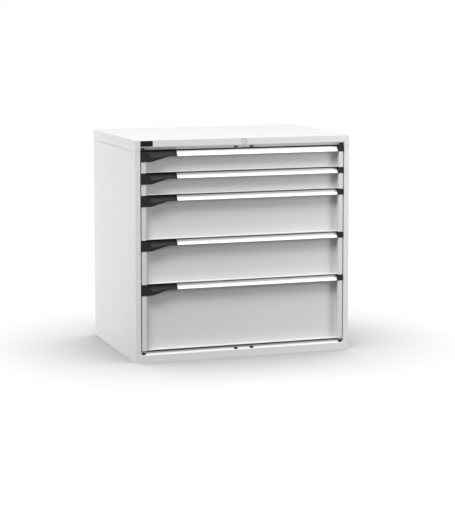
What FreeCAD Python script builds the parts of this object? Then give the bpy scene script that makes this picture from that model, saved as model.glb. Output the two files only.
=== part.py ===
import FreeCAD, Part
import math
import os
from FreeCAD import Vector

os.makedirs("parts", exist_ok=True)

# Industrial drawer cabinet, millimetres.
# The origin is at the bottom centre of the whole cabinet. The front faces -Y and Z is up.
# A setback is a distance behind the front plane of the housing.

# Housing
housing_width = 1023.0
housing_depth = 725.0
base_height = 47.0
cover_height = 49.0
housing_sheet = 1.5
top_edge_radius = 1.4
post_width = 24.0
post_return = 38.0
rear_flange = 20.0
skirt_flange = 20.0
rear_panel_hem = 14.0
rear_panel_gap = 0.3
cover_seam = 1.2
base_seam = 0.5

# Rails across the front of the cover and the base, each with a sloping lip
cover_rail_height = 44.0
rail_slope = 14.0
rail_flange = 32.0
rail_overlap = 5.0
flange_end_cut = 18.0
corner_relief = 2.0
lip_slot_width = 18.0
lip_slot_length = 12.0
cover_slot_setback = 9.0
base_slot_setback = 6.5
lip_slot_end_inset = 13.0
lip_slot_centre_offset = 38.0
base_hole_diameter = 11.0
base_hole_inset = 83.0
base_hole_height = 24.0

# Slotted uprights inside the side panels
upright_width = 36.0
upright_depth = 23.0
upright_sheet = 1.5
upright_inset = 61.0
upright_slot_width = 4.0
upright_slot_height = 13.0
upright_slot_pitch = 100.0

# Drawer fronts, from the top drawer down
shallow_front = 100.0
medium_front = 200.0
deep_front = 300.0
front_heights = [shallow_front, shallow_front, medium_front, medium_front, deep_front]
lower_clearance = 3.0
upper_clearance = 1.0
front_gap = 3.0
front_sheet = 1.2
strip_side_gap = 4.9
strip_width = 21.8
strip_setback = 1.0
strip_return = 11.0
front_recess = 31.0
lip_rise = 2.8

# Handle: an inclined label face with a moulded end at each side
handle_drop = 24.3
handle_slope_depth = 16.0
handle_sheet = 2.2
handle_web_height = 20.0
handle_nose_return = 6.0
label_thickness = 0.9
label_recess = 1.0
label_margin = 1.5
label_play = 0.2
cap_side_gap = 1.7
cap_seat_gap = 0.3
cap_wall = 2.0
cap_corner_radius = 1.2
right_cap_width = 29.6
left_cap_width = 170.7
left_cap_height = 47.0
left_cap_flat = 51.0
left_cap_rise_end = 128.0
left_cap_bend_radius = 80.0
cheek_start = 24.0
cheek_top = 35.2
cheek_bottom = 48.4

# Press lever in the left handle end
lever_top_setback = 16.5
lever_bottom_setback = 1.5
lever_top_drop = 0.5
lever_bottom_drop = 29.5
lever_left_top = 36.6
lever_left_bottom = 51.5
lever_top_margin = 1.5
lever_deep_edge = 31.6
lever_shallow_edge = 21.4
lever_rise_start = 78.0
lever_rise_end = 128.0
lever_bend_radius = 60.0
lever_right_margin = 5.4
lever_thickness = 2.5
lever_clearance = 0.8
lever_corner_radius = 2.0
pivot_margin = 4.5
pivot_depth = 3.6
pivot_rib_half = 2.4
pivot_lug_length = 3.0
pivot_lug_half_width = 1.2
pivot_lug_drop = 2.4
pivot_seat_half_width = 2.2
pivot_fit = 0.05
boss_half_size = 4.0
boss_gap = 0.8

# Drawer trays
tray_sheet = 1.2
tray_depth = 600.0
tray_floor_rise = 7.0
tray_top_drop = 8.0
hem_height = 10.0
hem_thickness = 1.2

# Roller runners: a channel on the housing, a channel on the drawer and a rail between them
channel_sheet = 2.0
channel_depth = 14.0
channel_to_rail = 0.5
roller_radius = 15.7
roller_clearance = 0.3
roller_side_clearance = 0.5
middle_rail_width = 6.8
middle_rail_web = 2.5
middle_rail_flange = 2.0
middle_rail_overhang = 3.0
runner_rise = 31.0
cabinet_rail_setback = 58.0
cabinet_rail_rear_gap = 9.0
drawer_rail_setback = 36.0
middle_rail_setback = 40.0
middle_rail_length = 600.0
inner_roller_place = 30.0
outer_roller_place = 570.0

# Badge plate and lock in the cover rail
badge_width = 57.0
badge_height = 25.0
badge_inset = 25.0
badge_drop = 15.7
badge_radius = 3.0
badge_flange = 3.0
badge_clearance = 0.2
badge_face_setback = 0.1
lock_hole_clearance = 0.8
lock_drop = 16.0
lock_face_radius = 12.6
lock_body_half_width = 14.0
lock_body_margin = 0.4
lock_body_setback = 30.0
lock_face_setback = 0.8
plug_radius = 7.0
plug_fit = 0.08
plug_setback = 1.2
keyhole_width = 1.6
keyhole_height = 7.0
keyhole_depth = 8.0
cam_arm = 10.0
cam_half_width = 5.0
cam_thickness = 3.0
cam_pin_half_side = 1.5
cam_slot_half_width = 2.6

# Central locking: a slide behind the cover rail lifts a hooked bar beside the runners
slide_setback = 37.0
slide_thickness = 2.5
slide_rest_gap = 0.3
slide_top_drop = 15.0
slide_left_end = 16.0
slide_right_margin = 7.0
bar_setback = 40.0
bar_depth = 8.0
bar_width = 6.0
bar_side_gap = 0.6
bar_pin_half_side = 2.5
bar_pin_rise = 7.0
bar_pin_play = 0.4
bar_end_margin = 6.0
bar_foot = 30.0
hook_reach = 13.4
hook_height = 10.0
hook_rail_gap = 2.0
tab_gap = 1.5
tab_behind_hook = 2.0
tab_thickness = 4.0
tab_height = 12.0
tab_bar_gap = 5.0

# Derived places
half_width = housing_width / 2
front_y = -housing_depth / 2
rear_y = housing_depth / 2
stack_bottom = base_height + lower_clearance
stack_top = stack_bottom + sum(front_heights)
cover_bottom = stack_top + upper_clearance
housing_top = cover_bottom + cover_height
post_edge = half_width - post_width
cover_rail_bottom = housing_top - cover_rail_height
strip_outer = post_edge - strip_side_gap
strip_inner = strip_outer - strip_width
cap_outer = post_edge - cap_side_gap
upright_face = half_width - housing_sheet - upright_depth
channel_height = 2 * (roller_radius + roller_clearance + channel_sheet)
runner_space = 2 * (channel_depth + channel_to_rail) + middle_rail_width
middle_rail_height = channel_height + 2 * middle_rail_overhang
tray_outer = upright_face - runner_space
tray_inner = tray_outer - tray_sheet
tray_front = front_recess + front_sheet
tray_rear = tray_front + 2 * tray_sheet + tray_depth
label_left = -cap_outer + left_cap_width
label_right = cap_outer - right_cap_width
lock_z = housing_top - lock_drop
cam_offset = cam_arm * math.sin(math.pi / 4)
lock_travel = 2 * cam_offset


class Drawer:
    """Heights of one drawer: the lower edge of its front, its top edge and its runner axis."""

    def __init__(self, number, top, height):
        self.number = number
        self.top = top
        self.bottom = top - height + front_gap
        self.floor = self.bottom + tray_floor_rise
        self.tray_top = top - tray_top_drop
        self.runner_z = self.bottom + runner_rise
        self.hook_low = self.runner_z + middle_rail_height / 2 + hook_rail_gap
        self.tab_low = self.hook_low + hook_height + tab_gap


def drawer_stack():
    """List the drawers from the top one down."""
    drawers = []
    top = stack_top
    for number, height in enumerate(front_heights, start=1):
        drawers.append(Drawer(number, top, height))
        top -= height
    return drawers


def export(name, *solids):
    """Write one node: a single solid, or several separate solids as a compound."""
    shape = solids[0] if len(solids) == 1 else Part.makeCompound(list(solids))
    shape.exportStep("parts/" + name + ".step")


def box(x0, x1, y0, y1, z0, z1):
    """Make a box between two corners."""
    return Part.makeBox(x1 - x0, y1 - y0, z1 - z0, Vector(x0, y0, z0))


def cylinder_x(x0, x1, y, z, radius):
    """Make a cylinder along X."""
    return Part.makeCylinder(radius, x1 - x0, Vector(x0, y, z), Vector(1, 0, 0))


def cylinder_y(x, y0, y1, z, radius):
    """Make a cylinder along Y."""
    return Part.makeCylinder(radius, y1 - y0, Vector(x, y0, z), Vector(0, 1, 0))


def mirrored(shape):
    """Make the left copy of a right-hand shape."""
    return shape.mirror(Vector(0, 0, 0), Vector(1, 0, 0))


def joined(first, *others):
    """Fuse shapes into one solid and merge the faces that line up."""
    return first.fuse(list(others)).removeSplitter()


def at_depth(setback):
    """Turn a setback from the front plane into a Y value."""
    return front_y + setback


def in_plan(z):
    """Draw (x, y) points at height z."""
    return lambda a, b: Vector(a, b, z)


def in_side(x):
    """Draw (setback, z) points at the given x."""
    return lambda a, b: Vector(x, at_depth(a), b)


def in_front(setback):
    """Draw (x, z) points at the given setback."""
    return lambda a, b: Vector(a, at_depth(setback), b)


def wire(points, place):
    """Close an outline of (a, b) or (a, b, radius) corners; a radius is limited by its sides."""
    corners = []
    count = len(points)
    for index, point in enumerate(points):
        corner = Vector(point[0], point[1], 0)
        before = Vector(points[index - 1][0], points[index - 1][1], 0) - corner
        after = Vector(points[(index + 1) % count][0], points[(index + 1) % count][1], 0) - corner
        radius = point[2] if len(point) > 2 else 0.0
        if radius == 0.0:
            corners.append([corner])
            continue
        half_angle = before.getAngle(after) / 2
        run = min(radius / math.tan(half_angle), before.Length / 2, after.Length / 2)
        radius = run * math.tan(half_angle)
        before.normalize()
        after.normalize()
        toward_centre = (before + after).normalize()
        centre = corner + toward_centre * (radius / math.sin(half_angle))
        corners.append([corner + before * run, centre - toward_centre * radius, corner + after * run])
    edges = []
    for index, corner in enumerate(corners):
        following = corners[(index + 1) % count]
        if len(corner) == 3:
            edges.append(Part.Arc(*[place(p.x, p.y) for p in corner]).toShape())
        if corner[-1].distanceToPoint(following[0]) > 1e-6:
            start = place(corner[-1].x, corner[-1].y)
            end = place(following[0].x, following[0].y)
            edges.append(Part.LineSegment(start, end).toShape())
    return Part.Wire(edges)


def prism(points, place, sweep):
    """Sweep a closed outline along a vector."""
    return Part.Face(wire(points, place)).extrude(sweep)


def sheet_outline(path, thickness, radius):
    """Outline of a bent sheet: its outer face follows path, rounded by radius, its body is on the left."""
    near = []
    far = []
    last = len(path) - 1
    directions = []
    for start, end in zip(path, path[1:]):
        directions.append(Vector(end[0] - start[0], end[1] - start[1], 0).normalize())
    normals = [Vector(-d.y, d.x, 0) for d in directions]
    for index, point in enumerate(path):
        corner = Vector(point[0], point[1], 0)
        if index in (0, last):
            offset = corner + normals[min(index, last - 1)] * thickness
            near.append((corner.x, corner.y))
            far.append((offset.x, offset.y))
            continue
        before, after = normals[index - 1], normals[index]
        offset = corner + (before + after) * (thickness / (1 + before.dot(after)))
        turns_left = directions[index - 1].cross(directions[index]).z > 0
        near.append((corner.x, corner.y, radius if turns_left else 0.0))
        far.append((offset.x, offset.y))
    return near + far[::-1]


def square_pin(x, z, setback0, setback1, half_side, turn):
    """Square pin along Y, turned about its own axis."""
    pin = box(-half_side, half_side, at_depth(setback0), at_depth(setback1), -half_side, half_side)
    pin.rotate(Vector(0, 0, 0), Vector(0, 1, 0), turn)
    pin.translate(Vector(x, 0, z))
    return pin


def hollow_skirt(z0, z1):
    """Closed folded box of housing sheet over the whole plan."""
    outer = box(-half_width, half_width, front_y, rear_y, z0, z1)
    sheet = housing_sheet
    inner = box(-half_width + sheet, half_width - sheet, front_y + sheet, rear_y - sheet,
                z0 + sheet, z1 - sheet)
    return outer.cut(inner)


def skirt_opening(z0, z1):
    """Box that opens a folded skirt between its return flanges."""
    inset = skirt_flange
    return box(-half_width + inset, half_width - inset, front_y + inset, rear_y - inset, z0, z1)


def lip_slots(setback, z):
    """Four slots square to a 45 degree lip, centred at the given setback and height."""
    slots = []
    ends = post_edge - lip_slot_end_inset
    direction = 1 if z < stack_bottom else -1
    for x in (-ends, -lip_slot_centre_offset, lip_slot_centre_offset, ends):
        slot = box(-lip_slot_width / 2, lip_slot_width / 2, -2 * housing_sheet, 2 * housing_sheet,
                   -lip_slot_length / 2, lip_slot_length / 2)
        slot.rotate(Vector(0, 0, 0), Vector(1, 0, 0), -45 * direction)
        slot.translate(Vector(x, at_depth(setback), z))
        slots.append(slot)
    return slots


def make_side_panel():
    """Right side panel, folded round the front post and a rear flange."""
    path = [(post_edge, at_depth(post_return)), (post_edge, front_y), (half_width, front_y),
            (half_width, rear_y), (half_width - rear_flange, rear_y)]
    outline = sheet_outline(path, housing_sheet, housing_sheet)
    low = base_height + base_seam
    return prism(outline, in_plan(low), Vector(0, 0, cover_bottom - cover_seam - low))


def make_rear_panel():
    """Rear panel behind the flanges, hemmed forward along its top and bottom."""
    setback = housing_depth - housing_sheet
    path = [(setback - rear_panel_hem, base_height), (setback, base_height),
            (setback, cover_bottom), (setback - rear_panel_hem, cover_bottom)]
    outline = sheet_outline(path, housing_sheet, housing_sheet)
    edge = half_width - housing_sheet - rear_panel_gap
    return prism(outline, in_side(-edge), Vector(2 * edge, 0, 0))


def make_top_cover():
    """Top cover: a folded tray with its front rail, sloping lip, slots and cut-outs."""
    sheet = housing_sheet
    cover = hollow_skirt(cover_bottom, housing_top)
    rims = [edge for edge in cover.Edges if edge.BoundBox.ZMin > housing_top - sheet / 2]
    cover = cover.makeFillet(top_edge_radius, rims)
    slope_top = cover_rail_bottom + rail_slope
    gap = box(-post_edge, post_edge, front_y - 1, at_depth(skirt_flange + 1),
              cover_bottom - 1, slope_top)
    cover = cover.cut([skirt_opening(cover_bottom - 1, cover_bottom + 2 * sheet), gap])
    path = [(0, slope_top + rail_overlap), (0, slope_top), (rail_slope, cover_rail_bottom),
            (rail_slope + rail_flange, cover_rail_bottom)]
    outline = sheet_outline(path, sheet, sheet)
    lip = prism(outline, in_side(-post_edge), Vector(2 * post_edge, 0, 0))
    cheek = box(post_edge, post_edge + sheet, front_y + sheet, at_depth(skirt_flange),
                cover_bottom + sheet, slope_top)
    cover = joined(cover, lip, cheek, mirrored(cheek))
    flange_cut = box(post_edge - flange_end_cut, post_edge, at_depth(rail_slope + sheet),
                     at_depth(rail_slope + rail_flange + 1), cover_rail_bottom - 1, slope_top)
    relief = box(post_edge - corner_relief, post_edge, front_y - 1, at_depth(2 * sheet),
                 slope_top, slope_top + corner_relief)
    cuts = [flange_cut, mirrored(flange_cut), relief, mirrored(relief)]
    slot_z = slope_top - cover_slot_setback
    cuts += lip_slots(cover_slot_setback, slot_z)
    cuts.append(cylinder_y(0, front_y - 1, at_depth(2 * sheet), lock_z,
                           lock_face_radius + lock_hole_clearance))
    cuts.append(badge_outline(badge_clearance, -1, 2 * sheet))
    return cover.cut(cuts)


def make_base_pan():
    """Base: a folded pan open below, with the sloping front lip and its slots."""
    sheet = housing_sheet
    base = hollow_skirt(0, base_height)
    slope_bottom = base_height - rail_slope
    gap = box(-post_edge, post_edge, front_y - 1, at_depth(rail_slope), slope_bottom, base_height + 1)
    base = base.cut([skirt_opening(-1, 2 * sheet), gap])
    path = [(rail_slope + rail_overlap, base_height), (rail_slope, base_height), (0, slope_bottom),
            (0, slope_bottom - rail_overlap)]
    outline = sheet_outline(path, sheet, sheet)
    lip = prism(outline, in_side(-post_edge), Vector(2 * post_edge, 0, 0))
    corner = [(sheet / 2, slope_bottom - sheet), (rail_slope + sheet, base_height - sheet / 2),
              (sheet / 2, base_height - sheet / 2)]
    cheek = prism(corner, in_side(post_edge), Vector(sheet, 0, 0))
    base = joined(base, lip, cheek, mirrored(cheek))
    cuts = lip_slots(base_slot_setback, slope_bottom + base_slot_setback)
    hole_y = rear_y - base_hole_inset
    cuts.append(cylinder_x(-half_width - 1, half_width + 1, hole_y, base_hole_height,
                           base_hole_diameter / 2))
    return base.cut(cuts)


def make_upright(y):
    """Right slotted upright: a rectangular tube with hook slots in its inner face."""
    half = upright_width / 2
    outer_x = half_width - housing_sheet
    tube = box(upright_face, outer_x, y - half, y + half, base_height, cover_bottom)
    wall = upright_sheet
    bore = box(upright_face + wall, outer_x - wall, y - half + wall, y + half - wall,
               base_height - 1, cover_bottom + 1)
    cuts = [bore]
    count = int((cover_bottom - base_height) / upright_slot_pitch) - 1
    spare = cover_bottom - base_height - (count - 1) * upright_slot_pitch
    for index in range(count):
        z = base_height + spare / 2 + index * upright_slot_pitch
        cuts.append(box(upright_face - 1, upright_face + 2 * wall, y - upright_slot_width / 2,
                        y + upright_slot_width / 2, z - upright_slot_height / 2,
                        z + upright_slot_height / 2))
    return tube.cut(cuts)


def badge_outline(growth, setback0, setback1):
    """Rounded rectangle of the badge plate, grown by an amount, between two setbacks."""
    x0 = -half_width + badge_inset - growth
    x1 = x0 + badge_width + 2 * growth
    z0 = housing_top - badge_drop - badge_height / 2 - growth
    z1 = z0 + badge_height + 2 * growth
    radius = badge_radius + growth
    points = [(x0, z0, radius), (x1, z0, radius), (x1, z1, radius), (x0, z1, radius)]
    return prism(points, in_front(setback0), Vector(0, setback1 - setback0, 0))


def make_badge():
    """Blank badge plate that snaps into the cover rail from behind."""
    face = badge_outline(0, badge_face_setback, housing_sheet)
    bounds = face.BoundBox
    flange = box(bounds.XMin - badge_flange, bounds.XMax + badge_flange, at_depth(housing_sheet),
                 at_depth(2 * housing_sheet), bounds.ZMin, min(bounds.ZMax, housing_top - housing_sheet))
    return joined(face, flange)


def make_lock_housing():
    """Lock body: a round face in the cover rail, a square block behind it and the bore for its plug."""
    face = cylinder_y(0, at_depth(lock_face_setback), at_depth(housing_sheet), lock_z, lock_face_radius)
    block = box(-lock_body_half_width, lock_body_half_width, at_depth(housing_sheet),
                at_depth(lock_body_setback), lock_z - lock_face_radius - lock_body_margin,
                housing_top - housing_sheet - lock_body_margin)
    bore = cylinder_y(0, front_y - 1, at_depth(lock_body_setback + 1), lock_z, plug_radius + plug_fit)
    return joined(face, block).cut(bore)


def make_lock_cylinder():
    """Lock plug with its keyhole, cam arm and drive pin, turned to the unlocked position."""
    cam_setback = lock_body_setback + 1
    cam_rear = cam_setback + cam_thickness
    plug = cylinder_y(0, at_depth(plug_setback), at_depth(cam_setback), lock_z, plug_radius)
    cam = box(-cam_half_width, cam_half_width, at_depth(cam_setback), at_depth(cam_rear),
              -cam_arm - cam_half_width, cam_half_width)
    cam.rotate(Vector(0, at_depth(cam_setback), 0), Vector(0, 1, 0), 45)
    cam.translate(Vector(0, 0, lock_z))
    pin = square_pin(-cam_offset, lock_z - cam_offset, cam_rear, slide_setback + slide_thickness,
                     cam_pin_half_side, 45)
    keyhole = box(-keyhole_width / 2, keyhole_width / 2, front_y, at_depth(plug_setback + keyhole_depth),
                  lock_z - keyhole_height / 2, lock_z + keyhole_height / 2)
    return joined(plug, cam, pin).cut(keyhole)


def bar_x():
    """X of the inner and outer face of the lock bar."""
    outer = upright_face - bar_side_gap
    return outer - bar_width, outer


def slide_slot(start, end, half_width_of_slot):
    """Straight slot through the slide for a pin that travels between two (x, z) points."""
    along = Vector(end[0] - start[0], end[1] - start[1], 0).normalize() * half_width_of_slot
    across = Vector(-along.y, along.x, 0)
    first = Vector(start[0], start[1], 0) - along
    last = Vector(end[0], end[1], 0) + along
    corners = [(p.x, p.y) for p in (first - across, last - across, last + across, first + across)]
    return prism(corners, in_front(slide_setback - 1), Vector(0, slide_thickness + 2, 0))


def make_lock_slide():
    """Slide behind the cover rail: an upright slot for the cam pin, a 45 degree one for the bar."""
    inner, outer = bar_x()
    pin_x = (inner + outer) / 2
    z0 = cover_rail_bottom + housing_sheet + slide_rest_gap
    z1 = housing_top - slide_top_drop
    plate = box(-slide_left_end, pin_x + slide_right_margin, at_depth(slide_setback),
                at_depth(slide_setback + slide_thickness), z0, z1)
    low = lock_z - cam_arm
    high = lock_z - cam_offset
    cam_slot = slide_slot((-cam_offset, low), (-cam_offset, high), cam_slot_half_width)
    bar_slot_half_width = bar_pin_half_side + bar_pin_play
    start_z = z0 + bar_pin_rise
    bar_slot = slide_slot((pin_x, start_z), (pin_x - lock_travel, start_z + lock_travel), bar_slot_half_width)
    return plate.cut([cam_slot, bar_slot])


def make_lock_bar(drawers):
    """Upright bar with one hook for each drawer and a pin in the slanted slot of the slide."""
    inner, outer = bar_x()
    y0 = at_depth(bar_setback)
    y1 = at_depth(bar_setback + bar_depth)
    pin_z = cover_rail_bottom + housing_sheet + slide_rest_gap + bar_pin_rise
    bottom = drawers[-1].hook_low - bar_foot
    bar = box(inner, outer, y0, y1, bottom, pin_z + bar_end_margin)
    hooks = [box(inner - hook_reach, inner, y0, y1, d.hook_low, d.hook_low + hook_height) for d in drawers]
    pin = square_pin((inner + outer) / 2, pin_z, slide_setback, bar_setback, bar_pin_half_side, 45)
    return joined(bar, pin, *hooks)


def channel(back_x, opening, setback0, setback1, z):
    """Runner channel with its web at back_x; opening is -1 or 1, the way it opens in X."""
    half = channel_height / 2
    tip = back_x + opening * channel_depth
    path = [(tip, z - half * -opening), (back_x, z - half * -opening), (back_x, z + half * -opening),
            (tip, z + half * -opening)]
    outline = sheet_outline(path, channel_sheet, 0.0)
    return prism(outline, in_front(setback0), Vector(0, setback1 - setback0, 0))


def make_cabinet_rail(drawer):
    """Right runner channel that hangs on the two uprights."""
    rear = housing_depth - cabinet_rail_rear_gap
    return channel(upright_face, -1, cabinet_rail_setback, rear, drawer.runner_z)


def make_middle_rail(drawer):
    """Right middle rail: an I-section with one roller on each side of its web."""
    centre = (tray_outer + upright_face) / 2
    wide = middle_rail_width / 2
    web = middle_rail_web / 2
    high = middle_rail_height / 2
    low = high - middle_rail_flange
    section = [(-wide, -high), (wide, -high), (wide, -low), (web, -low), (web, low), (wide, low),
               (wide, high), (-wide, high), (-wide, low), (-web, low), (-web, -low), (-wide, -low)]
    points = [(centre + a, drawer.runner_z + b) for a, b in section]
    rail = prism(points, in_front(middle_rail_setback), Vector(0, middle_rail_length, 0))
    rollers = []
    for place, side, back in ((inner_roller_place, -1, tray_outer), (outer_roller_place, 1, upright_face)):
        y = at_depth(middle_rail_setback + place)
        ends = sorted((centre + side * web, back - side * (channel_sheet + roller_side_clearance)))
        rollers.append(cylinder_x(ends[0], ends[1], y, drawer.runner_z, roller_radius))
    return [rail] + rollers


def make_tray(drawer):
    """Drawer tray: open box with hemmed rims, a runner channel on each side and the lock tab."""
    y0 = at_depth(tray_front)
    y1 = at_depth(tray_rear)
    outer = box(-tray_outer, tray_outer, y0, y1, drawer.floor, drawer.tray_top)
    inner = box(-tray_inner, tray_inner, y0 + tray_sheet, y1 - tray_sheet, drawer.floor + tray_sheet,
                drawer.tray_top + 1)
    hem = box(tray_outer, tray_outer + hem_thickness, y0, y1, drawer.tray_top - hem_height, drawer.tray_top)
    rail = channel(tray_outer, 1, drawer_rail_setback, tray_rear, drawer.runner_z)
    tab_front = bar_setback + bar_depth + tab_behind_hook
    tab = box(tray_outer, bar_x()[0] - tab_bar_gap, at_depth(tab_front), at_depth(tab_front + tab_thickness),
              drawer.tab_low, drawer.tab_low + tab_height)
    return joined(outer.cut(inner), hem, mirrored(hem), rail, mirrored(rail), tab)


def make_front(drawer):
    """Drawer front: recessed panel, proud side strips and a bottom flange that closes the recess."""
    strip_y = at_depth(strip_setback)
    panel_y = at_depth(front_recess)
    return_y = strip_y + strip_return
    path = [(-strip_outer, return_y), (-strip_outer, strip_y), (-strip_inner, strip_y), (-strip_inner, panel_y),
            (strip_inner, panel_y), (strip_inner, strip_y), (strip_outer, strip_y), (strip_outer, return_y)]
    outline = sheet_outline(path, front_sheet, front_sheet)
    front = prism(outline, in_plan(drawer.bottom), Vector(0, 0, drawer.top - drawer.bottom))
    flange = box(-strip_inner - front_sheet / 2, strip_inner + front_sheet / 2,
                 at_depth(strip_setback + front_sheet / 2), panel_y + front_sheet / 2,
                 drawer.bottom + lip_rise, drawer.bottom + lip_rise + front_sheet)
    panel_edge = strip_inner - 2 * front_sheet
    right_seat = drawer.top - handle_drop - cap_seat_gap
    left_seat = drawer.top - left_cap_height - cap_seat_gap
    right_cut = box(panel_edge, half_width, front_y - 1, at_depth(tray_front), right_seat, drawer.top + 1)
    left_cut = box(-half_width, -panel_edge, front_y - 1, at_depth(tray_front), left_seat, drawer.top + 1)
    return joined(front, flange).cut([right_cut, left_cut])


def slope_point(along, inward, top):
    """Setback and z of a point on the label plane: along it from its top edge, then inward."""
    length = math.hypot(handle_slope_depth, handle_drop)
    down = (-handle_slope_depth / length, -handle_drop / length)
    back = (handle_drop / length, -handle_slope_depth / length)
    return (handle_slope_depth + down[0] * along + back[0] * inward,
            top + down[1] * along + back[1] * inward)


def slope_bar(along0, along1, inward0, inward1, top, x0, x1):
    """Flat bar that lies in the label plane."""
    corners = [slope_point(a, b, top) for a, b in ((along0, inward0), (along1, inward0),
                                                    (along1, inward1), (along0, inward1))]
    return prism(corners, in_side(x0), Vector(x1 - x0, 0, 0))


def make_handle_profile(drawer):
    """Handle section between the two ends: web on the panel, top, label face and rolled nose."""
    top = drawer.top
    path = [(front_recess, top - handle_web_height), (front_recess, top), (handle_slope_depth, top),
            (0, top - handle_drop), (handle_nose_return, top - handle_drop)]
    outline = sheet_outline(path, handle_sheet, handle_sheet)
    profile = prism(outline, in_side(label_left), Vector(label_right - label_left, 0, 0))
    length = math.hypot(handle_slope_depth, handle_drop)
    groove = slope_bar(label_margin, length - label_margin, -1, label_recess, top, label_left - 1,
                       label_right + 1)
    return profile.cut(groove)


def make_label_strip(drawer):
    """Label strip that lies in the groove of the handle section."""
    length = math.hypot(handle_slope_depth, handle_drop)
    margin = label_margin + label_play
    return slope_bar(margin, length - margin, label_recess - label_thickness, label_recess, drawer.top,
                     label_left + label_play, label_right - label_play)


def make_right_end(drawer):
    """Right handle end: a square moulded cap, hollow from behind."""
    top = drawer.top
    radius = cap_corner_radius
    outer = [(label_right, top - handle_drop), (cap_outer, top - handle_drop, radius),
             (cap_outer, top, radius), (label_right, top)]
    inner = [(label_right + cap_wall, top - handle_drop + cap_wall),
             (cap_outer - cap_wall, top - handle_drop + cap_wall), (cap_outer - cap_wall, top - cap_wall),
             (label_right + cap_wall, top - cap_wall)]
    cap = prism(outer, in_front(0), Vector(0, front_recess, 0))
    return cap.cut(prism(inner, in_front(cap_wall), Vector(0, front_recess, 0)))


def left_end_outline(inset, top):
    """Front outline of the left handle end: flat at the left, then a gentle rise up to the handle."""
    x0 = -cap_outer
    low = top - left_cap_height + inset
    shallow = top - handle_drop + inset
    radius = max(cap_corner_radius - inset, 0.0)
    points = [(x0 + inset, top - inset, radius), (x0 + inset, low, radius)]
    points += [(x0 + left_cap_flat, low, left_cap_bend_radius),
               (x0 + left_cap_rise_end, shallow, left_cap_bend_radius)]
    points += [(x0 + left_cap_width - inset, shallow), (x0 + left_cap_width - inset, top - inset)]
    return points


def cheek_wedge(shift, top):
    """Solid in front of the label plane and right of the cheek, moved back and left by shift."""
    reach = 5.0
    slant = handle_slope_depth / handle_drop
    cheek_in = (cheek_top - cheek_start) / handle_slope_depth
    cheek_down = (cheek_bottom - cheek_start) / handle_drop
    corners = [(-reach, reach), (handle_slope_depth + reach * slant, reach),
               (-reach, -handle_drop - reach / slant)]
    left = []
    right = []
    for setback, z in corners:
        x = -cap_outer + cheek_start + cheek_in * setback - cheek_down * z - shift
        left.append(Vector(x, at_depth(setback + shift), top + z))
        right.append(Vector(label_left + reach, at_depth(setback + shift), top + z))
    left.append(left[0])
    right.append(right[0])
    return Part.makeLoft([Part.makePolygon(left), Part.makePolygon(right)], True, True)


def lever_axes():
    """Unit vectors of the lever plane in (setback, z): down along it and inward from it."""
    depth = lever_top_setback - lever_bottom_setback
    drop = lever_bottom_drop - lever_top_drop
    length = math.hypot(depth, drop)
    return (-depth / length, -drop / length), (drop / length, -depth / length)


def lever_place(inward, top):
    """Draw (distance from the left end, distance down the lever plane) points."""
    down, back = lever_axes()

    def place(a, b):
        setback = lever_top_setback + down[0] * b + back[0] * inward
        return Vector(-cap_outer + a, at_depth(setback), top - lever_top_drop + down[1] * b + back[1] * inward)

    return place


def lever_outline(growth):
    """Outline of the press lever in its own plane, grown by a clearance."""
    right = left_cap_width - lever_right_margin + growth
    deep = lever_deep_edge + growth
    shallow = lever_shallow_edge + growth
    top = lever_top_margin - growth
    radius = lever_corner_radius
    points = [(lever_left_top - growth, top), (lever_left_bottom - growth, deep, radius)]
    points += [(lever_rise_start, deep, lever_bend_radius), (lever_rise_end, shallow, lever_bend_radius)]
    points += [(right, shallow, radius), (right, top)]
    return points


def lever_sweep(distance):
    """Vector that runs inward from the lever plane."""
    back = lever_axes()[1]
    return Vector(0, back[0] * distance, back[1] * distance)


def pivot_point(top):
    """Y and Z of the lever's pivot axis."""
    point = lever_place(pivot_depth, top)(0, pivot_margin)
    return point.y, point.z


def make_left_end(drawer):
    """Left handle end: a moulded shell with a slanted cheek, the lever window and V seats for its lugs."""
    top = drawer.top
    body = prism(left_end_outline(0, top), in_front(0), Vector(0, front_recess, 0))
    body = body.cut(cheek_wedge(0, top))
    cavity = prism(left_end_outline(cap_wall, top), in_front(cap_wall), Vector(0, front_recess, 0))
    body = body.cut(cavity.cut(cheek_wedge(cap_wall * 1.2, top)))
    y, z = pivot_point(top)
    left_x = -cap_outer + lever_left_top - boss_gap
    right_x = -cap_outer + left_cap_width - lever_right_margin + boss_gap
    bosses = [box(left_x - boss_half_size, left_x, y - boss_half_size, y + boss_half_size,
                  z - boss_half_size, top - cap_wall / 2),
              box(right_x, label_left - cap_wall / 2, y - boss_half_size, y + boss_half_size,
                  z - boss_half_size, top - cap_wall / 2)]
    body = joined(body, *bosses)
    window_depth = 3.0
    reach = 12.0
    window = prism(lever_outline(lever_clearance), lever_place(-reach, top), lever_sweep(reach + window_depth))
    pin_reach = pivot_lug_length + pivot_fit
    depth = boss_half_size + 1
    spread = pivot_seat_half_width * depth / pivot_lug_drop
    seat = [(y - spread, z - depth), (y + spread, z - depth), (y, z + pivot_fit)]
    seats = [prism(seat, lambda a, b: Vector(x, a, b), Vector(reach, 0, 0))
             for x, reach in ((left_x - pin_reach, pin_reach + 1), (right_x - 1, pin_reach + 1))]
    return body.cut([window] + seats)


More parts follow.
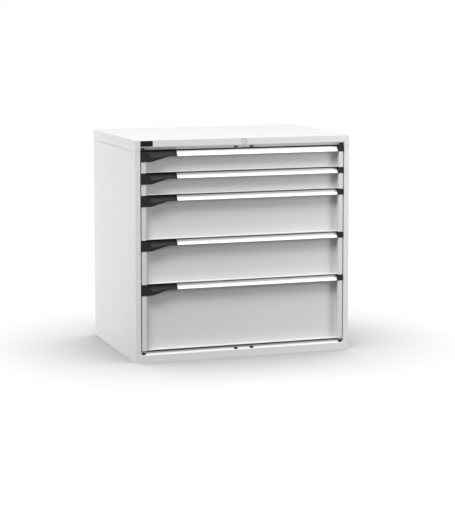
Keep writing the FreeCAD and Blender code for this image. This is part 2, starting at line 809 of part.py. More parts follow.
def make_lever(drawer):
    """Press lever: an inclined paddle with its pivot rib and a knife-edge lug at each end."""
    top = drawer.top
    paddle = prism(lever_outline(0), lever_place(0, top), lever_sweep(lever_thickness))
    y, z = pivot_point(top)
    x0 = -cap_outer + lever_left_top
    x1 = -cap_outer + left_cap_width - lever_right_margin
    rib = box(x0 + 1, x1, y - pivot_rib_half, y + pivot_rib_half, z - pivot_rib_half, z + pivot_rib_half)
    lug = [(y - pivot_lug_half_width, z - pivot_lug_drop), (y + pivot_lug_half_width, z - pivot_lug_drop), (y, z)]
    lug_reach = boss_gap + pivot_lug_length
    lugs = prism(lug, lambda a, b: Vector(x0 - lug_reach, a, b), Vector(x1 - x0 + 2 * lug_reach, 0, 0))
    return joined(paddle, rib, lugs)


def main():
    side_panel = make_side_panel()
    export("right_side_panel", side_panel)
    export("left_side_panel", mirrored(side_panel))
    export("rear_panel", make_rear_panel())
    export("top_cover", make_top_cover())
    export("base_pan", make_base_pan())
    for place, y in (("front", front_y + upright_inset), ("rear", rear_y - upright_inset)):
        upright = make_upright(y)
        export("right_" + place + "_upright", upright)
        export("left_" + place + "_upright", mirrored(upright))
    export("badge_plate", make_badge())
    export("lock_housing", make_lock_housing())
    export("lock_cylinder", make_lock_cylinder())
    export("lock_slide", make_lock_slide())
    drawers = drawer_stack()
    export("lock_bar", make_lock_bar(drawers))
    for drawer in drawers:
        number = str(drawer.number)
        cabinet_rail = make_cabinet_rail(drawer)
        export("cabinet_rails_" + number, cabinet_rail, mirrored(cabinet_rail))
        middle = make_middle_rail(drawer)
        export("middle_rails_" + number, *(middle + [mirrored(solid) for solid in middle]))
        export("drawer_tray_" + number, make_tray(drawer))
        export("drawer_front_" + number, make_front(drawer))
        export("handle_profile_" + number, make_handle_profile(drawer))
        export("label_strip_" + number, make_label_strip(drawer))
        export("handle_right_end_" + number, make_right_end(drawer))
        export("handle_left_end_" + number, make_left_end(drawer))
        export("latch_lever_" + number, make_lever(drawer))


main()
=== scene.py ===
"""Industrial drawer cabinet: finishes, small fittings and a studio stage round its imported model.

Lengths are metres in the cabinet's own frame: the front faces -Y, Z is up, and the floor is at
Z = 0.
"""

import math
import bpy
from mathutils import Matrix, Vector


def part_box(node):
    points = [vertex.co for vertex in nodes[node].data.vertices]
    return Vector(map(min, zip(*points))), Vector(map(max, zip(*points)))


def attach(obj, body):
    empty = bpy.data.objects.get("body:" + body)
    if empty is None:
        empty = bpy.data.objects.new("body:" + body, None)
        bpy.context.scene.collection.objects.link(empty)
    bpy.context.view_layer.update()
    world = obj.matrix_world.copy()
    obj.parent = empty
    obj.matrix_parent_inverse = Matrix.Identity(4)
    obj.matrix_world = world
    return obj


bl_info = {
    "name": "Drawer Cabinet Finish",
    "version": (1, 0, 0),
    "blender": (4, 5, 0),
    "location": "View3D > Sidebar > Cabinet",
    "description": "Finishes, small fittings and a studio stage for an industrial drawer cabinet",
    "category": "Object",
}

import bmesh
import bpy
from bpy.props import FloatProperty, FloatVectorProperty, PointerProperty
from mathutils import Matrix, Vector

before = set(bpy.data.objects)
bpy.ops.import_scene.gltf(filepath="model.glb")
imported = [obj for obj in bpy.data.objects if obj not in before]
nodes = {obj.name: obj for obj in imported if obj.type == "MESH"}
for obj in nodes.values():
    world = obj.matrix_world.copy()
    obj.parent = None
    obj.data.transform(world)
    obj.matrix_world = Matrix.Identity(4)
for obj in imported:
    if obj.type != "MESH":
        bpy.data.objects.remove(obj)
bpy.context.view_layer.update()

DRAWER_COUNT = 5
SMOOTH_ANGLE = math.radians(28)

# The lock's body reaches this far past its round face, and the hole in the rail leaves this play.
LOCK_BODY_MARGIN = 0.0004
LOCK_HOLE_CLEARANCE = 0.0008
RIM_STEPS = 64
RIM_ARC_DEGREES = 20
SHADE_DISC_STEPS = 32
SHADE_DISC_ARC_DEGREES = 15
LIP_SLOPE = math.radians(45)

PAINT_SPECULAR = 0.3

# Texture scales in cells per metre, bump depths in metres.
PEEL_SCALE = 520.0
PEEL_DEPTH = 0.0004
CLOUD_SCALE = 5.0
DIMPLE_DEPTH = 0.0012
# Colour factor of the painted shade inside the weld dimples.
DIMPLE_PAINTED_SHADE = -0.17
GRAIN_DEPTH = 0.0003
SPARK_SCALE = 900.0
SPARK_DEPTH = 0.0002
MOTTLE_SCALE = 30.0
FLOOR_GRAIN_SCALE = 300.0
FLOOR_GRAIN_DEPTH = 0.0005

# Share of the studio light that the floor sends back up at the cabinet.
FLOOR_BOUNCE = 0.20
SHADOW_SAMPLES = 16

# Each lamp: name, setting that holds its power, place, target and side length.
LAMPS = (
    ("high_left", "high_lamp", (-4.1, -4.8, 10.8), (0.0, 0.0, 0.5), 5.0),
    ("right_front", "right_lamp", (2.6, -2.2, 1.4), (0.5, -0.4, 0.5), 1.3),
    ("left_low", "left_lamp", (-2.5, 1.5, 0.5), (-0.5, 0.3, 0.3), 1.0),
    ("right_rear", "rear_lamp", (4.0, 5.0, 0.9), (0.0, 0.0, 0.5), 1.6),
)
SENSOR_SIZE = 36.0
CLIP_END = 60.0

SKIN_OUTPUTS = (("Colour", "NodeSocketColor"), ("Roughness", "NodeSocketFloat"),
                ("Normal", "NodeSocketVector"))


class CabinetColours(bpy.types.PropertyGroup):
    """Colours of the cabinet's finishes."""

    housing: FloatVectorProperty(
        name="Housing paint", description="Light warm grey powder coat of the housing",
        subtype="COLOR", size=3, min=0.0, max=1.0, default=(0.688, 0.681, 0.665))
    fronts: FloatVectorProperty(
        name="Drawer paint", description="Powder coat of the drawer fronts and trays",
        subtype="COLOR", size=3, min=0.0, max=1.0, default=(0.624, 0.618, 0.605))
    # The moulding colour also colours the black plates of painted shade behind the lip slots.
    mouldings: FloatVectorProperty(
        name="Handle ends", description="Black moulded plastic of the handle ends",
        subtype="COLOR", size=3, min=0.0, max=1.0, default=(0.010, 0.010, 0.011))
    # The badge colour also colours the painted shade round the lock's face and keyhole.
    badge: FloatVectorProperty(
        name="Badge", description="Plain black badge plate",
        subtype="COLOR", size=3, min=0.0, max=1.0, default=(0.003, 0.003, 0.003))
    levers: FloatVectorProperty(
        name="Press levers", description="Dark grey moulded plastic of the press levers",
        subtype="COLOR", size=3, min=0.0, max=1.0, default=(0.026, 0.026, 0.026))
    labels: FloatVectorProperty(
        name="Label strips", description="Blank white label card",
        subtype="COLOR", size=3, min=0.0, max=1.0, default=(0.92, 0.92, 0.91))
    aluminium: FloatVectorProperty(
        name="Handle section", description="Anodised aluminium of the handle section",
        subtype="COLOR", size=3, min=0.0, max=1.0, default=(0.60, 0.61, 0.62))
    zinc: FloatVectorProperty(
        name="Runners", description="Zinc plated steel of the runners and uprights",
        subtype="COLOR", size=3, min=0.0, max=1.0, default=(0.47, 0.48, 0.49))
    lock_metal: FloatVectorProperty(
        name="Lock", description="Satin nickel of the lock",
        subtype="COLOR", size=3, min=0.0, max=1.0, default=(0.68, 0.67, 0.66))


class CabinetSizes(bpy.types.PropertyGroup):
    """Sizes of the small fittings, and of the dark plates, rings and discs of painted shade, that
    the scene adds.
    """

    weld_radius: FloatProperty(
        name="Weld mark radius",
        description="Radius of the painted-over weld dimples in the sides",
        unit="LENGTH", default=0.0085, min=0.001, max=0.02)
    weld_inset: FloatProperty(
        name="Weld mark inset",
        description="Distance of the weld dimples from the ends of the uprights",
        unit="LENGTH", default=0.024, min=0.005, max=0.2)
    lock_face_radius: FloatProperty(
        name="Lock face radius", description="Radius of the round lock face in the cover rail",
        unit="LENGTH", default=0.0126, min=0.005, max=0.03)
    # Width of a black ring of painted shade in the play round the lock's face.
    gasket_width: FloatProperty(
        name="Lock gap shade width", description="Width of the black ring of painted shade round the lock's face",
        unit="LENGTH", default=0.0020, min=0.0005, max=0.004)
    # Radius of a dark disc of painted shade round the keyhole.
    key_guard_radius: FloatProperty(
        name="Keyhole shade radius", description="Radius of the dark disc of painted shade round the keyhole",
        unit="LENGTH", default=0.0032, min=0.001, max=0.006)
    bezel_width: FloatProperty(
        name="Lock bezel width", description="Width of the rounded rim on the lock's face",
        unit="LENGTH", default=0.0024, min=0.0005, max=0.01)
    bezel_rise: FloatProperty(
        name="Lock bezel rise", description="Height of the rounded rim over the lock's face",
        unit="LENGTH", default=0.0006, min=0.0001, max=0.002)
    slot_end_inset: FloatProperty(
        name="End slot inset", description="Distance of the end slots' centres from the posts",
        unit="LENGTH", default=0.013, min=0.005, max=0.05)
    slot_centre_offset: FloatProperty(
        name="Middle slot offset",
        description="Distance of the middle slots' centres from the centre line",
        unit="LENGTH", default=0.038, min=0.01, max=0.2)
    cover_slot_setback: FloatProperty(
        name="Cover slot setback",
        description="Distance of the cover's slots behind the front plane",
        unit="LENGTH", default=0.009, min=0.002, max=0.02)
    cover_slot_drop: FloatProperty(
        name="Cover slot drop", description="Distance of the cover's slots below the cabinet's top",
        unit="LENGTH", default=0.039, min=0.01, max=0.1)
    base_slot_setback: FloatProperty(
        name="Base slot setback",
        description="Distance of the base's slots behind the front plane",
        unit="LENGTH", default=0.0065, min=0.002, max=0.02)
    base_slot_drop: FloatProperty(
        name="Base slot drop", description="Distance of the base's slots below the top of the base",
        unit="LENGTH", default=0.0075, min=0.002, max=0.05)
    # The four sizes below are of black plates of painted shade behind the lip slots.
    pocket_width: FloatProperty(
        name="Slot shade plate width", description="Width of the black plate of painted shade behind each slot",
        unit="LENGTH", default=0.020, min=0.01, max=0.05)
    pocket_height: FloatProperty(
        name="Slot shade plate height", description="Height of the black plate of painted shade along the lip",
        unit="LENGTH", default=0.0128, min=0.005, max=0.03)
    pocket_thickness: FloatProperty(
        name="Slot shade plate thickness", description="Thickness of the black plate of painted shade",
        unit="LENGTH", default=0.0015, min=0.0005, max=0.005)
    pocket_setback: FloatProperty(
        name="Slot shade plate setback", description="Distance of the plate of painted shade behind the lip",
        unit="LENGTH", default=0.00255, min=0.0023, max=0.02)


class StageSettings(bpy.types.PropertyGroup):
    """Camera and studio light."""

    camera_place: FloatVectorProperty(
        name="Camera place", description="Where the camera stands",
        subtype="TRANSLATION", size=3, default=(-2.6101, -7.7755, 1.6164))
    camera_yaw: FloatProperty(
        name="Camera yaw",
        description="Turn of the camera to the right of the cabinet's depth axis",
        subtype="ANGLE", default=math.radians(18.844))
    camera_pitch: FloatProperty(
        name="Camera pitch", description="Downward tilt of the camera",
        subtype="ANGLE", default=math.radians(6.395))
    camera_lens: FloatProperty(
        name="Lens", description="Focal length in millimetres, on the frame's height of 36 mm",
        default=122.98, min=10.0, max=400.0)
    camera_shift: FloatProperty(
        name="Vertical shift", description="Rise of the picture frame in parts of its height",
        default=-0.117, min=-0.5, max=0.5)
    ambient: FloatProperty(
        name="Ambient light", description="Strength of the even studio light",
        default=0.20, min=0.0, max=2.0)
    high_lamp: FloatProperty(
        name="High lamp",
        description="Power of the large lamp high to the left of the front, in watts",
        default=1710.0, min=0.0, max=9000.0)
    right_lamp: FloatProperty(
        name="Right front lamp",
        description="Power of the soft lamp to the right of the front, in watts",
        default=52.0, min=0.0, max=2000.0)
    left_lamp: FloatProperty(
        name="Left lamp",
        description="Power of the low soft lamp beside the left side, in watts",
        default=32.0, min=0.0, max=2000.0)
    rear_lamp: FloatProperty(
        name="Rear lamp",
        description="Power of the soft lamp behind the right rear corner, in watts",
        default=260.0, min=0.0, max=2000.0)
    shadow_reach: FloatProperty(
        name="Shadow reach",
        description="Distance from the cabinet where its soft floor shadow ends",
        unit="LENGTH", default=0.65, min=0.1, max=3.0)
    floor_half: FloatProperty(
        name="Floor half size", description="Half the side of the floor",
        unit="LENGTH", default=9.0, min=2.0, max=50.0)


class NodeGraph:
    """Short way to add nodes and link them inside one node tree."""

    def __init__(self, tree):
        self.tree = tree

    def add(self, kind, values=None, **settings):
        """Add a node, set its properties, then set or link its inputs."""
        node = self.tree.nodes.new(kind)
        for name, value in settings.items():
            setattr(node, name, value)
        for socket, value in (values or {}).items():
            if isinstance(value, bpy.types.NodeSocket):
                self.link(value, node.inputs[socket])
            else:
                node.inputs[socket].default_value = value
        return node

    def link(self, output, socket):
        """Link an output to an input socket."""
        self.tree.links.new(output, socket)

    def math(self, operation, first, second=0.0):
        """Add a math node and give its output."""
        return self.add("ShaderNodeMath", {0: first, 1: second}, operation=operation).outputs[0]


def new_group(name, inputs, outputs):
    """Make a shader node group with named sockets; give it, its graph and both ends' sockets."""
    tree = bpy.data.node_groups.new(name, "ShaderNodeTree")
    for label, kind, default in inputs:
        socket = tree.interface.new_socket(label, in_out="INPUT", socket_type=kind)
        if default is not None:
            socket.default_value = default
    for label, kind in outputs:
        tree.interface.new_socket(label, in_out="OUTPUT", socket_type=kind)
    graph = NodeGraph(tree)
    source = graph.add("NodeGroupInput").outputs
    target = graph.add("NodeGroupOutput").inputs
    return tree, graph, source, target


def send_skin(graph, target, colour, roughness, normal):
    """Link the three results of a finish to its group's outputs."""
    for label, result in (("Colour", colour), ("Roughness", roughness), ("Normal", normal)):
        graph.link(result, target[label])


def scaled_colour(graph, colour, factor):
    """Multiply a colour by a factor and give the result."""
    return graph.add("ShaderNodeVectorMath", {0: colour, "Scale": factor},
                     operation="SCALE").outputs["Vector"]


def powder_group():
    """Orange-peel skin of a powder coat: a varied colour, a varied roughness and a fine normal; the
    Dimple mask adds a dent and painted shade inside it.
    """
    tree, graph, source, target = new_group(
        "Powder Coat Skin",
        (("Colour", "NodeSocketColor", (0.7, 0.7, 0.7, 1.0)),
         ("Roughness", "NodeSocketFloat", 0.45), ("Peel", "NodeSocketFloat", 0.12),
         ("Mottle", "NodeSocketFloat", 0.03), ("Dimple", "NodeSocketFloat", 0.0)),
        SKIN_OUTPUTS)
    place = graph.add("ShaderNodeTexCoord").outputs["Object"]
    peel = graph.add("ShaderNodeTexNoise", {"Vector": place, "Scale": PEEL_SCALE, "Detail": 2.0,
                                            "Roughness": 0.55}).outputs["Fac"]
    cloud = graph.add("ShaderNodeTexNoise", {"Vector": place, "Scale": CLOUD_SCALE, "Detail": 3.0,
                                             "Roughness": 0.6}).outputs["Fac"]
    dent = graph.add("ShaderNodeBump", {"Height": source["Dimple"], "Strength": 1.0,
                                        "Distance": DIMPLE_DEPTH}, invert=True).outputs["Normal"]
    bump = graph.add("ShaderNodeBump", {"Height": peel, "Strength": source["Peel"],
                                        "Distance": PEEL_DEPTH, "Normal": dent}).outputs["Normal"]
    swing = graph.math("MULTIPLY", graph.math("SUBTRACT", cloud, 0.5), source["Mottle"])
    # Painted shade: the colour darkens inside each dimple.
    dimple_painted_shade = graph.math("MULTIPLY", source["Dimple"], DIMPLE_PAINTED_SHADE)
    shade = graph.math("ADD", graph.math("ADD", swing, 1.0), dimple_painted_shade)
    rough = graph.math("ADD", source["Roughness"], graph.math("MULTIPLY", swing, 1.5))
    send_skin(graph, target, scaled_colour(graph, source["Colour"], shade), rough, bump)
    return tree


def grain_group():
    """Drawn or brushed grain along one axis: a varied colour, roughness and normal."""
    tree, graph, source, target = new_group(
        "Drawn Grain",
        (("Colour", "NodeSocketColor", (0.6, 0.6, 0.6, 1.0)),
         ("Roughness", "NodeSocketFloat", 0.35), ("Stretch", "NodeSocketVector", (1.0, 1.0, 1.0)),
         ("Depth", "NodeSocketFloat", 0.1), ("Contrast", "NodeSocketFloat", 0.12)),
        SKIN_OUTPUTS)
    place = graph.add("ShaderNodeTexCoord").outputs["Object"]
    scaled = graph.add("ShaderNodeVectorMath", {0: place, 1: source["Stretch"]},
                       operation="MULTIPLY").outputs["Vector"]
    lines = graph.add("ShaderNodeTexNoise", {"Vector": scaled, "Scale": 1.0, "Detail": 4.0,
                                             "Roughness": 0.6}).outputs["Fac"]
    swing = graph.math("MULTIPLY", graph.math("SUBTRACT", lines, 0.5), source["Contrast"])
    shade = graph.math("ADD", swing, 1.0)
    rough = graph.math("ADD", source["Roughness"], swing)
    bump = graph.add("ShaderNodeBump", {"Height": lines, "Strength": source["Depth"],
                                        "Distance": GRAIN_DEPTH}).outputs["Normal"]
    send_skin(graph, target, scaled_colour(graph, source["Colour"], shade), rough, bump)
    return tree


def moulding_group():
    """Spark-eroded moulded plastic: a varied colour, a varied roughness and a grained normal."""
    tree, graph, source, target = new_group(
        "Moulded Texture",
        (("Colour", "NodeSocketColor", (0.02, 0.02, 0.02, 1.0)),
         ("Roughness", "NodeSocketFloat", 0.5), ("Depth", "NodeSocketFloat", 0.25)),
        SKIN_OUTPUTS)
    place = graph.add("ShaderNodeTexCoord").outputs["Object"]
    cells = graph.add("ShaderNodeTexVoronoi",
                      {"Vector": place, "Scale": SPARK_SCALE}).outputs["Distance"]
    cloud = graph.add("ShaderNodeTexNoise",
                      {"Vector": place, "Scale": MOTTLE_SCALE, "Detail": 3.0}).outputs["Fac"]
    swing = graph.math("SUBTRACT", cloud, 0.5)
    shade = graph.math("ADD", graph.math("MULTIPLY", swing, 0.35), 1.0)
    rough = graph.math("ADD", source["Roughness"], graph.math("MULTIPLY", swing, 0.2))
    bump = graph.add("ShaderNodeBump", {"Height": cells, "Strength": source["Depth"],
                                        "Distance": SPARK_DEPTH}).outputs["Normal"]
    send_skin(graph, target, scaled_colour(graph, source["Colour"], shade), rough, bump)
    return tree


def dimple_group():
    """Mask of four round weld dimples on a side: 1 inside each, at two depths and two heights."""
    tree, graph, source, target = new_group(
        "Weld Dimples",
        (("Half Depth", "NodeSocketFloat", 0.3), ("Low", "NodeSocketFloat", 0.07),
         ("High", "NodeSocketFloat", 0.93), ("Radius", "NodeSocketFloat", 0.008)),
        (("Dimple", "NodeSocketFloat"),))

    def distance(value, centre):
        return graph.math("ABSOLUTE", graph.math("SUBTRACT", value, centre))

    place = graph.add("ShaderNodeTexCoord").outputs["Object"]
    axes = graph.add("ShaderNodeSeparateXYZ", {0: place}).outputs
    across = graph.math("SUBTRACT", graph.math("ABSOLUTE", axes["Y"]), source["Half Depth"])
    upward = graph.math("MINIMUM", distance(axes["Z"], source["Low"]),
                        distance(axes["Z"], source["High"]))
    reach = graph.math("SQRT", graph.math("ADD", graph.math("MULTIPLY", across, across),
                                          graph.math("MULTIPLY", upward, upward)))
    rim = graph.math("DIVIDE", reach, source["Radius"])
    dimple = graph.add("ShaderNodeMapRange",
                       {"Value": rim, "From Min": 0.6, "From Max": 1.0, "To Min": 1.0,
                        "To Max": 0.0}, interpolation_type="SMOOTHSTEP").outputs["Result"]
    graph.link(dimple, target["Dimple"])
    return tree


def group_tree(name):
    """Give a shared node group, built the first time it is asked for."""
    builders = {"Powder Coat Skin": powder_group, "Drawn Grain": grain_group,
                "Moulded Texture": moulding_group, "Weld Dimples": dimple_group}
    return bpy.data.node_groups.get(name) or builders[name]()


def skinned_material(name, group, colour, metallic=0.0, specular=0.5, **values):
    """Material whose shader takes its colour, roughness and normal from a shared group."""
    material = bpy.data.materials.new(name)
    material.use_nodes = True
    material.diffuse_color = (*colour, 1.0)
    graph = NodeGraph(material.node_tree)
    shader = material.node_tree.nodes["Principled BSDF"]
    shader.inputs["Metallic"].default_value = metallic
    shader.inputs["Specular IOR Level"].default_value = specular
    skin = graph.add("ShaderNodeGroup", node_tree=group_tree(group))
    skin.inputs["Colour"].default_value = (*colour, 1.0)
    for label, value in values.items():
        skin.inputs[label].default_value = value
    for output, socket in zip(("Colour", "Roughness", "Normal"),
                              ("Base Color", "Roughness", "Normal")):
        graph.link(skin.outputs[output], shader.inputs[socket])
    return material


def powder_paint(name, colour, roughness=0.42, peel=0.10, mottle=0.02):
    """Powder coat paint."""
    return skinned_material(name, "Powder Coat Skin", colour, specular=PAINT_SPECULAR,
                            Roughness=roughness, Peel=peel, Mottle=mottle)


def moulded_plastic(name, colour, specular, roughness, depth):
    """Moulded plastic."""
    return skinned_material(name, "Moulded Texture", colour, specular=specular,
                            Roughness=roughness, Depth=depth)


def drawn_metal(name, colour, roughness, stretch, depth, contrast):
    """Bare metal with a grain; the stretch gives the grain's lines per metre along each axis."""
    return skinned_material(name, "Drawn Grain", colour, metallic=1.0, Roughness=roughness,
                            Stretch=stretch, Depth=depth, Contrast=contrast)


def dress(material, *names):
    """Give CAD nodes a material and smooth their rounded faces."""
    for name in names:
        mesh = nodes[name].data
        mesh.materials.clear()
        mesh.materials.append(material)
        mesh.shade_smooth()
        mesh.set_sharp_from_angle(angle=SMOOTH_ANGLE)


def each_drawer(*stems):
    """Names of the nodes with these stems, for every drawer."""
    numbers = range(1, DRAWER_COUNT + 1)
    return [stem + "_" + str(number) for number in numbers for stem in stems]


def mesh_piece(name, shape, material, body):
    """Turn a bmesh into a piece that rides on a body."""
    mesh = bpy.data.meshes.new(name)
    shape.to_mesh(mesh)
    shape.free()
    mesh.materials.append(material)
    mesh.shade_smooth()
    piece = bpy.data.objects.new(name, mesh)
    bpy.context.scene.collection.objects.link(piece)
    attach(piece, body)


def moved(shape, matrix):
    """Move a bmesh by a matrix and give it back."""
    bmesh.ops.transform(shape, matrix=matrix, verts=shape.verts)
    return shape


def revolved(profile, steps):
    """Turn an open (radius, height) profile about Z into a bmesh."""
    shape = bmesh.new()
    points = [shape.verts.new((radius, 0.0, height)) for radius, height in profile]
    edges = [shape.edges.new(pair) for pair in zip(points, points[1:])]
    bmesh.ops.spin(shape, geom=points + edges, cent=(0, 0, 0), axis=(0, 0, 1),
                   angle=2 * math.pi, steps=steps)
    bmesh.ops.remove_doubles(shape, verts=shape.verts, dist=1e-6)
    bmesh.ops.recalc_face_normals(shape, faces=shape.faces)
    return shape


class CABINET_OT_housing_finish(bpy.types.Operator):
    """Powder coat on the housing, zinc on its uprights, runners and locking parts"""

    bl_idname = "cabinet.housing_finish"
    bl_label = "Housing finish"

    def execute(self, context):
        colours = context.scene.cabinet_colours
        paint = powder_paint("Housing powder coat", colours.housing)
        zinc = drawn_metal("Zinc plated steel", colours.zinc, roughness=0.38,
                           stretch=(40.0, 40.0, 260.0), depth=0.08, contrast=0.18)
        uprights = [side + "_" + end + "_upright"
                    for side in ("left", "right") for end in ("front", "rear")]
        dress(paint, "rear_panel", "top_cover", "base_pan")
        dress(zinc, *uprights, *each_drawer("cabinet_rails", "middle_rails"),
              "lock_bar", "lock_slide")
        return {"FINISHED"}


class CABINET_OT_drawer_finish(bpy.types.Operator):
    """Powder coat on the drawer fronts and trays"""

    bl_idname = "cabinet.drawer_finish"
    bl_label = "Drawer finish"

    def execute(self, context):
        colours = context.scene.cabinet_colours
        front_paint = powder_paint("Drawer front powder coat", colours.fronts)
        tray_paint = powder_paint("Drawer tray powder coat", colours.fronts, roughness=0.48,
                                  peel=0.12, mottle=0.03)
        dress(front_paint, *each_drawer("drawer_front"))
        dress(tray_paint, *each_drawer("drawer_tray"))
        return {"FINISHED"}


class CABINET_OT_handle_finish(bpy.types.Operator):
    """Aluminium, label card and moulded plastic of the handles"""

    bl_idname = "cabinet.handle_finish"
    bl_label = "Handle finish"

    def execute(self, context):
        colours = context.scene.cabinet_colours
        aluminium = drawn_metal("Anodised handle section", colours.aluminium, roughness=0.34,
                                stretch=(8.0, 900.0, 900.0), depth=0.05, contrast=0.10)
        card = skinned_material("Blank label card", "Powder Coat Skin", colours.labels,
                                Roughness=0.55, Peel=0.03, Mottle=0.01)
        black = moulded_plastic("Black moulding", colours.mouldings, specular=0.2,
                                roughness=0.50, depth=0.25)
        grey = moulded_plastic("Grey lever moulding", colours.levers, specular=0.2,
                               roughness=0.55, depth=0.25)
        dress(aluminium, *each_drawer("handle_profile"))
        dress(card, *each_drawer("label_strip"))
        dress(black, *each_drawer("handle_left_end", "handle_right_end"))
        dress(grey, *each_drawer("latch_lever"))
        return {"FINISHED"}


class CABINET_OT_lock_finish(bpy.types.Operator):
    """Satin nickel lock with a black ring of painted shade in the play round its face, a rounded
    rim and a dark disc of painted shade round the keyhole, and the blank badge plate
    """

    bl_idname = "cabinet.lock_finish"
    bl_label = "Lock and badge"

    def execute(self, context):
        colours = context.scene.cabinet_colours
        sizes = context.scene.cabinet_sizes
        nickel = drawn_metal("Satin nickel", colours.lock_metal, roughness=0.30,
                             stretch=(300.0, 300.0, 300.0), depth=0.04, contrast=0.10)
        badge = moulded_plastic("Black badge", colours.badge, specular=0.15, roughness=0.5,
                                depth=0.05)
        shade = moulded_plastic("Keyhole shade", colours.badge, specular=0.1, roughness=0.7,
                                depth=0.05)
        dress(nickel, "lock_housing", "lock_cylinder")
        dress(badge, "badge_plate")

        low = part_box("lock_housing")[0]
        centre_z = low.z + sizes.lock_face_radius + LOCK_BODY_MARGIN
        forward = Matrix.Rotation(math.radians(90), 4, "X")
        face = Matrix.Translation((0.0, low.y, centre_z)) @ forward
        hole = sizes.lock_face_radius + LOCK_HOLE_CLEARANCE
        outer = hole - sizes.gasket_width
        # The first rim is a black ring of painted shade that fills the play round the lock's face.
        rims = (("lock_gasket", outer, hole, sizes.bezel_rise / 2, shade),
                ("lock_bezel", outer - sizes.bezel_width, outer, sizes.bezel_rise, nickel))
        turns = [math.radians(angle) for angle in range(0, 181, RIM_ARC_DEGREES)]
        for name, inner_radius, outer_radius, rise, material in rims:
            half = (outer_radius - inner_radius) / 2
            arc = [(inner_radius + half + half * math.cos(turn), rise * math.sin(turn))
                   for turn in turns]
            rim = moved(revolved(arc, RIM_STEPS), face)
            mesh_piece(name, rim, material, "housing")

        # A dark disc of painted shade stands on the plug's face round the keyhole.
        radius = sizes.key_guard_radius
        plug_face = Matrix.Translation((0.0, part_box("lock_cylinder")[0].y, centre_z)) @ forward
        turns = [math.radians(angle) for angle in range(0, 91, SHADE_DISC_ARC_DEGREES)]
        dome = [(radius * math.sin(turn), sizes.bezel_rise / 2 * math.cos(turn))
                for turn in turns]
        shade_disc = moved(revolved(dome, SHADE_DISC_STEPS), plug_face)
        mesh_piece("key_guard", shade_disc, shade, "lock_plug")
        return {"FINISHED"}


class CABINET_OT_side_finish(bpy.types.Operator):
    """Powder coat on the sides, with the weld dimples, dented and darkened by painted shade, where
    the uprights are fixed
    """

    bl_idname = "cabinet.side_finish"
    bl_label = "Side finish"

    def execute(self, context):
        sizes = context.scene.cabinet_sizes
        paint = powder_paint("Side powder coat", context.scene.cabinet_colours.housing)
        low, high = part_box("right_rear_upright")
        graph = NodeGraph(paint.node_tree)
        dimples = graph.add("ShaderNodeGroup", node_tree=group_tree("Weld Dimples"))
        dimples.inputs["Half Depth"].default_value = (low.y + high.y) / 2
        dimples.inputs["Low"].default_value = low.z + sizes.weld_inset
        dimples.inputs["High"].default_value = high.z - sizes.weld_inset
        dimples.inputs["Radius"].default_value = sizes.weld_radius
        skin = next(node for node in paint.node_tree.nodes
                    if node.type == "GROUP" and node.node_tree.name == "Powder Coat Skin")
        graph.link(dimples.outputs["Dimple"], skin.inputs["Dimple"])
        dress(paint, "left_side_panel", "right_side_panel")
        return {"FINISHED"}


class CABINET_OT_slot_finish(bpy.types.Operator):
    """Black plates of painted shade close behind the slots in the sloping lips of the cover and the
    base
    """

    bl_idname = "cabinet.slot_finish"
    bl_label = "Lip slots"

    def execute(self, context):
        sizes = context.scene.cabinet_sizes
        black = moulded_plastic("Black hook pocket", context.scene.cabinet_colours.mouldings,
                                specular=0.1, roughness=0.7, depth=0.1)
        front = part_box("base_pan")[0].y
        end = -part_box("left_side_panel")[1].x - sizes.slot_end_inset
        cover_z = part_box("top_cover")[1].z - sizes.cover_slot_drop
        base_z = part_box("base_pan")[1].z - sizes.base_slot_drop
        lips = (("cover", front + sizes.cover_slot_setback, cover_z, LIP_SLOPE),
                ("base", front + sizes.base_slot_setback, base_z, -LIP_SLOPE))
        size = Matrix.Diagonal((sizes.pocket_width, sizes.pocket_thickness,
                                sizes.pocket_height, 1.0))
        middle = sizes.slot_centre_offset
        for lip, y, z, slope in lips:
            for number, x in enumerate((-end, -middle, middle, end), 1):
                place = (Matrix.Translation((x, y, z)) @ Matrix.Rotation(slope, 4, "X")
                         @ Matrix.Translation((0.0, sizes.pocket_setback, 0.0)))
                # Each plate is painted shade: a black sheet behind the slot where the housing's
                # inside is dark.
                shade_plate = bmesh.new()
                bmesh.ops.create_cube(shade_plate, size=1.0)
                mesh_piece(lip + "_hook_pocket_" + str(number), moved(shade_plate, place @ size),
                           black, "housing")
        return {"FINISHED"}


def seen_rays(graph):
    """1 for camera, glossy and transmission rays, 0 for the rays that only carry light."""
    rays = graph.add("ShaderNodeLightPath")
    mirrored = graph.math("MAXIMUM", rays.outputs["Is Glossy Ray"],
                          rays.outputs["Is Transmission Ray"])
    return graph.math("MAXIMUM", rays.outputs["Is Camera Ray"], mirrored)


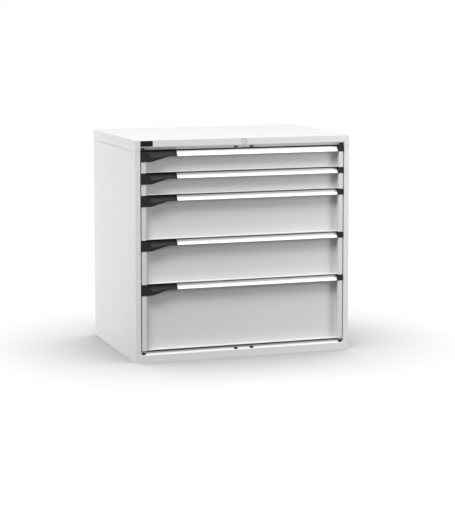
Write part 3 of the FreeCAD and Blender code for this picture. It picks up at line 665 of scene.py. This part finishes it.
def floor_material(reach):
    """White floor that carries little light; to the camera it glows white, dimmed by an ambient
    occlusion mask into a painted soft shadow of what stands near it.
    """
    material = bpy.data.materials.new("Studio floor")
    material.use_nodes = True
    tree = material.node_tree
    graph = NodeGraph(tree)
    place = graph.add("ShaderNodeTexCoord").outputs["Object"]
    grain = graph.add("ShaderNodeTexNoise", {"Vector": place, "Scale": FLOOR_GRAIN_SCALE,
                                             "Detail": 2.0}).outputs["Fac"]
    bump = graph.add("ShaderNodeBump", {"Height": grain, "Strength": 0.02,
                                        "Distance": FLOOR_GRAIN_DEPTH}).outputs["Normal"]
    shader = tree.nodes["Principled BSDF"]
    shader.inputs["Base Color"].default_value = (FLOOR_BOUNCE, FLOOR_BOUNCE, FLOOR_BOUNCE, 1.0)
    shader.inputs["Roughness"].default_value = 0.8
    shader.inputs["Specular IOR Level"].default_value = 0.05
    graph.link(bump, shader.inputs["Normal"])
    # Painted shadow: the floor's white glow dims where things stand within reach.
    near = graph.add("ShaderNodeAmbientOcclusion", {"Distance": reach},
                     samples=SHADOW_SAMPLES).outputs["AO"]
    white = graph.add("ShaderNodeEmission", {"Color": (1.0, 1.0, 1.0, 1.0), "Strength": near})
    mix = graph.add("ShaderNodeMixShader", {0: seen_rays(graph), 1: shader.outputs["BSDF"],
                                            2: white.outputs["Emission"]})
    graph.link(mix.outputs["Shader"], tree.nodes["Material Output"].inputs["Surface"])
    return material


def area_lamp(name, place, target, size, power):
    """Soft square lamp that points at a target."""
    data = bpy.data.lights.new(name, "AREA")
    data.shape = "SQUARE"
    data.size = size
    data.energy = power
    lamp = bpy.data.objects.new(name, data)
    lamp.location = place
    direction = Vector(target) - Vector(place)
    lamp.rotation_euler = direction.to_track_quat("-Z", "Y").to_euler()
    bpy.context.scene.collection.objects.link(lamp)


class CABINET_OT_stage(bpy.types.Operator):
    """Floor, studio light and the camera at the photograph's viewing angle"""

    bl_idname = "cabinet.stage"
    bl_label = "Stage"

    def execute(self, context):
        scene = context.scene
        stage = scene.cabinet_stage
        shape = bmesh.new()
        bmesh.ops.create_grid(shape, x_segments=1, y_segments=1, size=stage.floor_half)
        mesh = bpy.data.meshes.new("floor")
        shape.to_mesh(mesh)
        shape.free()
        mesh.materials.append(floor_material(stage.shadow_reach))
        floor = bpy.data.objects.new("floor", mesh)
        scene.collection.objects.link(floor)

        world = bpy.data.worlds.new("Studio")
        world.use_nodes = True
        graph = NodeGraph(world.node_tree)
        strength = graph.add("ShaderNodeMapRange",
                             {"Value": seen_rays(graph), "To Min": stage.ambient,
                              "To Max": 1.0}).outputs["Result"]
        background = world.node_tree.nodes["Background"]
        background.inputs["Color"].default_value = (1.0, 1.0, 1.0, 1.0)
        graph.link(strength, background.inputs["Strength"])
        scene.world = world

        for name, setting, place, target, size in LAMPS:
            area_lamp(name, place, target, size, getattr(stage, setting))

        data = bpy.data.cameras.new("camera")
        data.sensor_width = SENSOR_SIZE
        data.lens = stage.camera_lens
        data.shift_y = stage.camera_shift
        data.clip_end = CLIP_END
        camera = bpy.data.objects.new("camera", data)
        camera.location = stage.camera_place
        camera.rotation_euler = (math.radians(90) - stage.camera_pitch, 0.0,
                                 -stage.camera_yaw)
        scene.collection.objects.link(camera)
        scene.camera = camera
        scene.view_settings.view_transform = "Standard"
        return {"FINISHED"}


class CABINET_PT_panel(bpy.types.Panel):
    """Sidebar panel with every step and its settings"""

    bl_label = "Cabinet"
    bl_idname = "CABINET_PT_panel"
    bl_space_type = "VIEW_3D"
    bl_region_type = "UI"
    bl_category = "Cabinet"

    def draw(self, context):
        layout = self.layout
        for settings in (context.scene.cabinet_colours, context.scene.cabinet_sizes,
                         context.scene.cabinet_stage):
            box = layout.box()
            for name in settings.__annotations__:
                box.prop(settings, name)
        for operator in OPERATORS:
            layout.operator(operator.bl_idname)


OPERATORS = (CABINET_OT_housing_finish, CABINET_OT_drawer_finish, CABINET_OT_handle_finish,
             CABINET_OT_lock_finish, CABINET_OT_side_finish, CABINET_OT_slot_finish,
             CABINET_OT_stage)
CLASSES = (CabinetColours, CabinetSizes, StageSettings, *OPERATORS, CABINET_PT_panel)


def register():
    for cls in CLASSES:
        bpy.utils.register_class(cls)
    bpy.types.Scene.cabinet_colours = PointerProperty(type=CabinetColours)
    bpy.types.Scene.cabinet_sizes = PointerProperty(type=CabinetSizes)
    bpy.types.Scene.cabinet_stage = PointerProperty(type=StageSettings)


def unregister():
    del bpy.types.Scene.cabinet_stage
    del bpy.types.Scene.cabinet_sizes
    del bpy.types.Scene.cabinet_colours
    for cls in reversed(CLASSES):
        bpy.utils.unregister_class(cls)


def main():
    register()
    bpy.ops.cabinet.housing_finish()
    bpy.ops.cabinet.drawer_finish()
    bpy.ops.cabinet.handle_finish()
    bpy.ops.cabinet.lock_finish()
    bpy.ops.cabinet.side_finish()
    bpy.ops.cabinet.slot_finish()
    bpy.ops.cabinet.stage()


if __name__ == "__main__":
    main()
